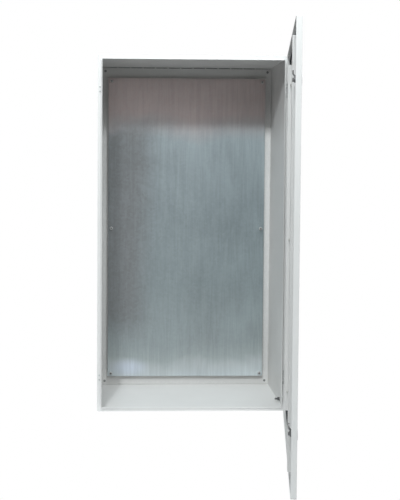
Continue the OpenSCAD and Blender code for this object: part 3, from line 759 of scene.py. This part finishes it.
def add_bead(target, start, end, width, height):
    """Adds a flat bead between two points on a face that looks forward."""
    bead = bmesh.new()
    bmesh.ops.create_uvsphere(bead, u_segments=BEAD_STEPS[0], v_segments=BEAD_STEPS[1], radius=1.0)
    along = (end - start).normalized()
    half = along * ((end - start).length / 2)
    side = FORWARD.cross(along) * (width / 2)
    turn = Matrix((half, side, FORWARD * height)).transposed()
    join_into(target, bead, Matrix.Translation((start + end) / 2) @ turn.to_4x4())


def tab_places(reach):
    """Places of the tabs along an edge that reaches this far to both sides of the middle."""
    count = int((2 * reach - 2 * TAB_PITCH) / TAB_PITCH)
    return [(step - count / 2) * TAB_PITCH for step in range(count + 1)]


# ---------------------------------------------------------------- pieces


def sizes():
    """The size settings of the scene."""
    return bpy.context.scene.enclosure_sizes


class ENCLOSURE_OT_body_shell(bpy.types.Operator):
    """Folded body, its back panel and their welds"""

    bl_idname = "enclosure.body_shell"
    bl_label = "Body shell"

    def execute(self, context):
        dressed("body_wrap", sizes().fold_round, 3)
        dressed("back_panel", sizes().fold_round * 0.5, 1)
        front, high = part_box("body_wrap")
        welds = bmesh.new()
        flange = front.y + LIP_REACH
        for x in (-1, 1):
            for z in (-1, 1):
                ends = [
                    Vector((x * (high.x - inset), flange, z * (high.z - inset)))
                    for inset in CORNER_WELD_INSETS
                ]
                add_bead(welds, *ends, sizes().weld_width, sizes().weld_height)
        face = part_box("back_panel")[0].y
        inset = WALL + TAB_WELD_INSET
        level, upright = Vector((1, 0, 0)), Vector((0, 0, 1))
        seams = (
            (level, high.x, upright * (high.z - inset)),
            (upright, high.z, level * (high.x - inset)),
        )
        for side in (-1, 1):
            for along, reach, off in seams:
                half = along * TAB_WELD_HALF_LENGTH
                for place in tab_places(reach):
                    middle = along * place + off * side - FORWARD * face
                    add_bead(welds, middle - half, middle + half, TAB_WELD_WIDTH, TAB_WELD_HEIGHT)
        bmesh.ops.recalc_face_normals(welds, faces=welds.faces)
        finished("body_welds", welds, "enclosure", "paint")
        return {"FINISHED"}


class ENCLOSURE_OT_back_trim(bpy.types.Operator):
    """Dark discs in the wall holes and a dark strip over the back panel, both painted shade"""

    bl_idname = "enclosure.back_trim"
    bl_label = "Back trim"

    def execute(self, context):
        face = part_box("back_panel")[0].y
        mounts = frame["record"]["mounts"]
        bolts = next(mount["dims"] for mount in mounts if mount["kind"] == "bolt_pattern")
        radius = bolts["hole_r_mm"] * MM
        half_x, half_z = bolts["spacing_x_mm"] * MM / 2, bolts["spacing_y_mm"] * MM / 2
        # Painted shade: thin dark discs in the wall holes, for the dark seen through them.
        turn = Matrix.Rotation(math.radians(-90.0), 4, "X")
        outline = [(0.0, 0.0), (radius, 0.0), (radius, HOLE_SHADE_THICKNESS), (0.0, HOLE_SHADE_THICKNESS)]
        hole_shade_discs = bmesh.new()
        for x in (-1, 1):
            for z in (-1, 1):
                place = Vector((x * half_x, face + HOLE_SHADE_DEPTH, z * half_z))
                join_into(hole_shade_discs, lathe(outline), Matrix.Translation(place) @ turn)
        finished("wall_hole_shade_discs", hole_shade_discs, "enclosure", "grey_plastic", finish="dark_plastic")
        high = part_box("body_wrap")[1]
        # Painted shade: a dark strip laid in the gap over the back panel, where the deep gap lies in shade.
        seam = bmesh.new()
        middle = Vector((0.0, face + SEAM_DEPTH, high.z - WALL - SEAM_WIDTH / 2))
        reach = Vector((high.x - WALL, 0.0, 0.0))
        add_bead(seam, middle - reach, middle + reach, SEAM_WIDTH, SEAM_HEIGHT)
        bmesh.ops.recalc_face_normals(seam, faces=seam.faces)
        finished("back_seam_painted_shade", seam, "enclosure", "foam", finish="dark_plastic")
        return {"FINISHED"}


class ENCLOSURE_OT_mounting_plate(bpy.types.Operator):
    """Mounting plate with folded edges"""

    bl_idname = "enclosure.mounting_plate"
    bl_label = "Mounting plate"

    def execute(self, context):
        dressed("mounting_plate", sizes().fold_round)
        return {"FINISHED"}


class ENCLOSURE_OT_plate_fixings(bpy.types.Operator):
    """Studs, sleeves, washers and nuts of the mounting plate"""

    bl_idname = "enclosure.plate_fixings"
    bl_label = "Plate fixings"

    def execute(self, context):
        threaded("plate_studs", FORWARD, PLATE_THREAD, "dark_steel")
        dressed("plate_spacers", sizes().hardware_round)
        dressed("plate_washers", sizes().hardware_round, finish="galvanised")
        dressed("plate_nuts", sizes().hardware_round, finish="dull_zinc")
        return {"FINISHED"}


class ENCLOSURE_OT_hinges(bpy.types.Operator):
    """Concealed hinges, their nuts and the plugs of the unused holes"""

    bl_idname = "enclosure.hinges"
    bl_label = "Hinges"

    def execute(self, context):
        for node in (
            "hinge_leaf_body_upper", "hinge_leaf_body_lower", "hinge_leaf_door_upper",
            "hinge_leaf_door_lower", "hinge_nuts", "hinge_pin_upper", "hinge_pin_lower", "spare_hole_plugs",
        ):
            finish = "dull_zinc" if node.startswith("hinge_leaf") else None
            dressed(node, sizes().hardware_round, finish=finish)
        return {"FINISHED"}


class ENCLOSURE_OT_earthing(bpy.types.Operator):
    """Earthing points of the body and the door"""

    bl_idname = "enclosure.earthing"
    bl_label = "Earthing points"

    def execute(self, context):
        # The body's earth fixings take the dark steel, partly painted shade.
        threaded("earth_stud_body", Vector((-1.0, 0.0, 0.0)), EARTH_THREAD, "dark_steel")
        threaded("earth_stud_door", -DOOR_OUTWARD, EARTH_THREAD)
        for node in ("earth_washer_body", "earth_nut_body", "earth_washer_door", "earth_nut_door"):
            dressed(node, sizes().hardware_round, finish="dark_steel")
        return {"FINISHED"}


class ENCLOSURE_OT_door_tray(bpy.types.Operator):
    """Folded door tray"""

    bl_idname = "enclosure.door_tray"
    bl_label = "Door tray"

    def execute(self, context):
        dressed("door_skin", sizes().fold_round, 3)
        return {"FINISHED"}


class ENCLOSURE_OT_seal(bpy.types.Operator):
    """Foamed seal on the inside of the door"""

    bl_idname = "enclosure.seal"
    bl_label = "Seal"

    def execute(self, context):
        shape = merged("door_gasket")
        free_face = min(vert.co.dot(DOOR_OUTWARD) for vert in shape.verts)

        def on_free_face(edge):
            return all(abs(vert.co.dot(DOOR_OUTWARD) - free_face) < 0.01 * MM for vert in edge.verts)

        round_edges(shape, sizes().seal_dome, 4, on_free_face)
        bmesh.ops.triangulate(shape, faces=[face for face in shape.faces if len(face.verts) > 4])
        for edge_length in SEAL_EDGE_LENGTHS:
            long_edges = [edge for edge in shape.edges if edge.calc_length() > edge_length]
            bmesh.ops.subdivide_edges(shape, edges=long_edges, cuts=1, use_grid_fill=True)
        for vert in shape.verts:
            if vert.co.dot(DOOR_OUTWARD) - free_face > SEAL_FREE_DEPTH:
                continue
            drift = sum(noise.noise(vert.co * scale) * share for scale, share in SEAL_NOISE)
            vert.co += DOOR_OUTWARD * (sizes().seal_unevenness * (0.5 + 0.5 * drift))
        finished("door_seal", shape, "door", "foam", ("door_gasket",))
        return {"FINISHED"}


class ENCLOSURE_OT_door_rails(bpy.types.Operator):
    """Perforated door rails with studs and nuts"""

    bl_idname = "enclosure.door_rails"
    bl_label = "Door rails"

    def execute(self, context):
        for node in ("door_rail_latch", "door_rail_hinge"):
            dressed(node, sizes().fold_round * 0.6, 1)
        dressed("rail_nuts", sizes().hardware_round)
        threaded("rail_studs", -DOOR_OUTWARD, RAIL_THREAD)
        return {"FINISHED"}


class ENCLOSURE_OT_locks(bpy.types.Operator):
    """Quarter-turn locks with their cams"""

    bl_idname = "enclosure.locks"
    bl_label = "Locks"

    def execute(self, context):
        for kind in ("lock_housing", "lock_nut", "lock_insert", "lock_cam", "cam_washer", "cam_screw"):
            for end in ("upper", "lower"):
                # The cams take the dark steel, partly painted shade for their shaded sides.
                finish = "dark_steel" if "cam" in kind else None
                dressed(f"{kind}_{end}", sizes().hardware_round, finish=finish)
        return {"FINISHED"}


# ---------------------------------------------------------------- stage


def floor_material():
    """Pale floor with a faint cloudy grey; it keeps a soft shadow."""
    material, tree, shader, place = new_material("pale_floor")
    cloud = node_at(tree, "ShaderNodeTexNoise", -600, 100, Scale=1.5, Detail=3.0)
    tree.links.new(place, cloud.inputs["Vector"])
    base = blend_colour(tree, -300, 100, cloud.outputs["Fac"], *FLOOR_GREYS)
    tree.links.new(base, shader.inputs["Base Color"])
    shader.inputs["Roughness"].default_value = 0.7
    return material


def white_world(strength):
    """White to the camera and in reflections; bright parts of the sky above the front light the object."""
    world = bpy.data.worlds.new("studio")
    world.use_nodes = True
    tree = world.node_tree
    tree.nodes.clear()
    output = tree.nodes.new("ShaderNodeOutputWorld")
    seen = tree.nodes.new("ShaderNodeBackground")
    seen.inputs["Color"].default_value = (1.0, 1.0, 1.0, 1.0)
    seen.inputs["Strength"].default_value = 1.0
    lit = tree.nodes.new("ShaderNodeBackground")
    place = tree.nodes.new("ShaderNodeTexCoord")
    parts = tree.nodes.new("ShaderNodeSeparateXYZ")
    tree.links.new(place.outputs["Generated"], parts.inputs["Vector"])
    height = scalar(tree, "ARCSINE", 0, 0, parts.outputs["Z"])
    front = scalar(tree, "MULTIPLY", 0, 0, parts.outputs["Y"], -1.0)
    bearing = scalar(tree, "ARCTAN2", 0, 0, parts.outputs["X"], front)
    lit.inputs["Color"].default_value = LIGHT_COLOUR + (1.0,)
    total = None
    for bearing_middle, bearing_half, height_middle, height_half, level in SKY:
        masks = []
        limits = ((bearing, bearing_middle, bearing_half), (height, height_middle, height_half))
        for angle, middle, half in limits:
            mask = scalar(tree, "COMPARE", 0, 0, angle, math.radians(middle))
            mask.node.inputs[2].default_value = math.radians(half)
            masks.append(mask)
        patch = scalar(tree, "MULTIPLY", 0, 0, *masks)
        patch = scalar(tree, "MULTIPLY", 0, 0, patch, level * strength)
        total = patch if total is None else scalar(tree, "ADD", 0, 0, total, patch)
    tree.links.new(total, lit.inputs["Strength"])
    path = tree.nodes.new("ShaderNodeLightPath")
    first = scalar(tree, "MAXIMUM", 0, 0, path.outputs["Is Camera Ray"], path.outputs["Is Glossy Ray"])
    second = scalar(tree, "MAXIMUM", 0, 0, first, path.outputs["Is Transmission Ray"])
    mix = tree.nodes.new("ShaderNodeMixShader")
    tree.links.new(second, mix.inputs[0])
    tree.links.new(lit.outputs["Background"], mix.inputs[1])
    tree.links.new(seen.outputs["Background"], mix.inputs[2])
    tree.links.new(mix.outputs["Shader"], output.inputs["Surface"])
    return world


def lamp(name, place, aim, size, power):
    """A round soft lamp at a place, turned to an aim."""
    glow = bpy.data.lights.new(name, "AREA")
    glow.shape = "DISK"
    glow.size = size
    glow.energy = power
    glow.color = LIGHT_COLOUR
    made = bpy.data.objects.new(name, glow)
    bpy.context.scene.collection.objects.link(made)
    away = Vector(place) - Vector(aim)
    made.matrix_world = Matrix.Translation(place) @ away.to_track_quat("Z", "Y").to_matrix().to_4x4()
    return made


def add_camera(scene):
    """The camera of the front view."""
    lens = bpy.data.cameras.new("camera")
    lens.lens = CAMERA_LENS
    lens.sensor_width = CAMERA_SENSOR
    lens.shift_x, lens.shift_y = CAMERA_SHIFT
    lens.clip_start, lens.clip_end = CAMERA_RANGE
    made = bpy.data.objects.new("camera", lens)
    scene.collection.objects.link(made)
    heading = Matrix.Rotation(CAMERA_HEADING, 4, "Z")
    tilt = Matrix.Rotation(math.radians(90.0) - CAMERA_DOWNWARD, 4, "X")
    roll = Matrix.Rotation(CAMERA_ROLL, 4, "Z")
    made.matrix_world = Matrix.Translation(CAMERA_PLACE) @ heading @ tilt @ roll
    scene.camera = made


def add_floor(scene):
    """The floor, an even grid."""
    slab = bmesh.new()
    bmesh.ops.create_grid(slab, x_segments=FLOOR_STEPS[0], y_segments=FLOOR_STEPS[1], size=1.0)
    grown = Matrix.Diagonal(FLOOR_HALF_SIZE + (1.0, 1.0))
    bmesh.ops.transform(slab, verts=slab.verts, matrix=Matrix.Translation(FLOOR_MIDDLE) @ grown)
    mesh = bpy.data.meshes.new("floor")
    slab.to_mesh(mesh)
    slab.free()
    made = bpy.data.objects.new("floor", mesh)
    scene.collection.objects.link(made)
    made.data.materials.append(floor_material())
    return made


class ENCLOSURE_OT_stage(bpy.types.Operator):
    """Camera, lamps, sky and floor"""

    bl_idname = "enclosure.stage"
    bl_label = "Stage"

    def execute(self, context):
        scene = context.scene
        scene.view_settings.view_transform = "Standard"
        scene.world = white_world(sizes().sky_strength)
        add_camera(scene)
        for number, (place, size, share) in enumerate(LAMPS):
            lamp(f"softbox_{number}", place, LAMP_AIM, size, sizes().lamp_power * share)
        place, aim, length, width, power = STRIP
        strip = lamp("ground_bounce", place, aim, length, power)
        strip.data.shape = "RECTANGLE"
        strip.data.size_y = width
        strip.visible_camera = False
        floor = add_floor(scene)
        return {"FINISHED"}


class ENCLOSURE_PT_panel(bpy.types.Panel):
    """Sizes, colours and steps of the enclosure"""

    bl_idname = "ENCLOSURE_PT_panel"
    bl_label = "Steel wall enclosure"
    bl_space_type = "VIEW_3D"
    bl_region_type = "UI"
    bl_category = "Enclosure"

    def draw(self, context):
        layout = self.layout
        for group in (context.scene.enclosure_sizes, context.scene.enclosure_colours):
            box = layout.box()
            for name in group.__annotations__:
                box.prop(group, name)
        for operator in OPERATORS:
            layout.operator(operator.bl_idname)


OPERATORS = (
    ENCLOSURE_OT_stage,
    ENCLOSURE_OT_body_shell,
    ENCLOSURE_OT_back_trim,
    ENCLOSURE_OT_mounting_plate,
    ENCLOSURE_OT_plate_fixings,
    ENCLOSURE_OT_hinges,
    ENCLOSURE_OT_earthing,
    ENCLOSURE_OT_door_tray,
    ENCLOSURE_OT_seal,
    ENCLOSURE_OT_door_rails,
    ENCLOSURE_OT_locks,
)
CLASSES = (EnclosureSizes, EnclosureColours) + OPERATORS + (ENCLOSURE_PT_panel,)


def register():
    for cls in CLASSES:
        bpy.utils.register_class(cls)
    bpy.types.Scene.enclosure_sizes = bpy.props.PointerProperty(type=EnclosureSizes)
    bpy.types.Scene.enclosure_colours = bpy.props.PointerProperty(type=EnclosureColours)


def unregister():
    del bpy.types.Scene.enclosure_colours
    del bpy.types.Scene.enclosure_sizes
    for cls in reversed(CLASSES):
        bpy.utils.unregister_class(cls)


def main():
    """Registers the add-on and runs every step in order."""
    register()
    for operator in OPERATORS:
        group, name = operator.bl_idname.split(".")
        getattr(getattr(bpy.ops, group), name)()


if __name__ == "__main__":
    main()
